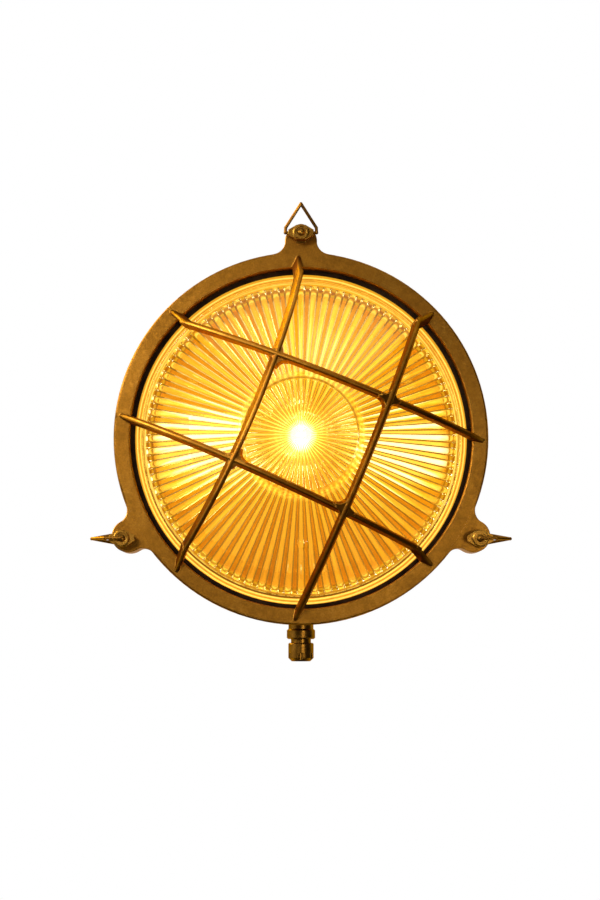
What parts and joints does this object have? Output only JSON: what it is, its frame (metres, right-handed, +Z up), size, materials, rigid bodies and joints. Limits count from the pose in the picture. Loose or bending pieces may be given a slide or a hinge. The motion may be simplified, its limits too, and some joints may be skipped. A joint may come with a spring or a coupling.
{
  "type": "wall light",
  "caption": "Round cast wall light with a domed lattice guard over ribbed glass, loop-handled thumb nuts on lugs, and a cable gland underneath.",
  "frame": {"origin": "centre of the body's flat back face, which lies on the wall", "axes": "+Z up the wall, +Y into the wall, the lamp stands out along -Y, +X to the right as one looks at the lamp"},
  "size_m": [0.245, 0.106, 0.2692],
  "materials": {
    "cast_brass": "sand-cast, aged, satin",
    "nut_brass": "turned, slightly tarnished",
    "gland_brass": "turned, dull",
    "wire": "drawn wire, tarnished",
    "glass": "pressed, ribbed, clear",
    "rubber": "matt black",
    "reflector": "spun, satin gold",
    "steel": "zinc plated",
    "ceramic": "unglazed white",
    "contact_metal": "bright",
    "bulb_glass": "opal, with a plain metal cap"
  },
  "bodies": {
    "lamp": {"body_casting": "cast_brass", "cover_casting": "cast_brass", "glass": "glass", "glass_gasket": "rubber", "cover_studs": "nut_brass", "gland_body": "gland_brass", "gland_seal": "rubber", "gland_washer": "rubber", "reflector_tray": "reflector", "tray_screws": "steel", "lampholder": "ceramic", "holder_shell": "contact_metal", "centre_contact": "contact_metal", "side_contact": "contact_metal", "holder_bracket": "steel", "bracket_screws": "steel", "terminal_screws": "contact_metal", "bulb": "bulb_glass", "earth_screw": "contact_metal", "earth_washer": "contact_metal"},
    "nut_top": {"thumb_nut_top": "nut_brass"},
    "nut_left": {"thumb_nut_left": "nut_brass"},
    "nut_right": {"thumb_nut_right": "nut_brass"},
    "loop_top": {"finger_loop_top": "wire"},
    "loop_left": {"finger_loop_left": "wire"},
    "loop_right": {"finger_loop_right": "wire"},
    "gland_cap": {"gland_nut": "gland_brass"}
  },
  "joints": [
    {"name": "nut_top_turn", "type": "hinge", "parent": "lamp", "child": "nut_top", "pos_m": [0, -0.062, 0.12], "axis": [0, -1, 0], "continuous": true},
    {"name": "loop_top_swing", "type": "hinge", "parent": "nut_top", "child": "loop_top", "pos_m": [0, -0.0646, 0.12], "axis": [1, 0, 0], "range_deg": [-8, 150]},
    {"name": "nut_left_turn", "type": "hinge", "parent": "lamp", "child": "nut_left", "pos_m": [-0.10392, -0.062, -0.06], "axis": [0, -1, 0], "continuous": true},
    {"name": "loop_left_swivel", "type": "hinge", "parent": "nut_left", "child": "loop_left", "pos_m": [-0.10392, -0.0609, -0.06], "axis": [0, -1, 0], "continuous": true},
    {"name": "nut_right_turn", "type": "hinge", "parent": "lamp", "child": "nut_right", "pos_m": [0.10392, -0.062, -0.06], "axis": [0, -1, 0], "continuous": true},
    {"name": "loop_right_swivel", "type": "hinge", "parent": "nut_right", "child": "loop_right", "pos_m": [0.10392, -0.0609, -0.06], "axis": [0, -1, 0], "continuous": true},
    {"name": "gland_nut_turn", "type": "hinge", "parent": "lamp", "child": "gland_cap", "pos_m": [0, -0.022, -0.126], "axis": [0, 0, -1], "continuous": true}
  ]
}
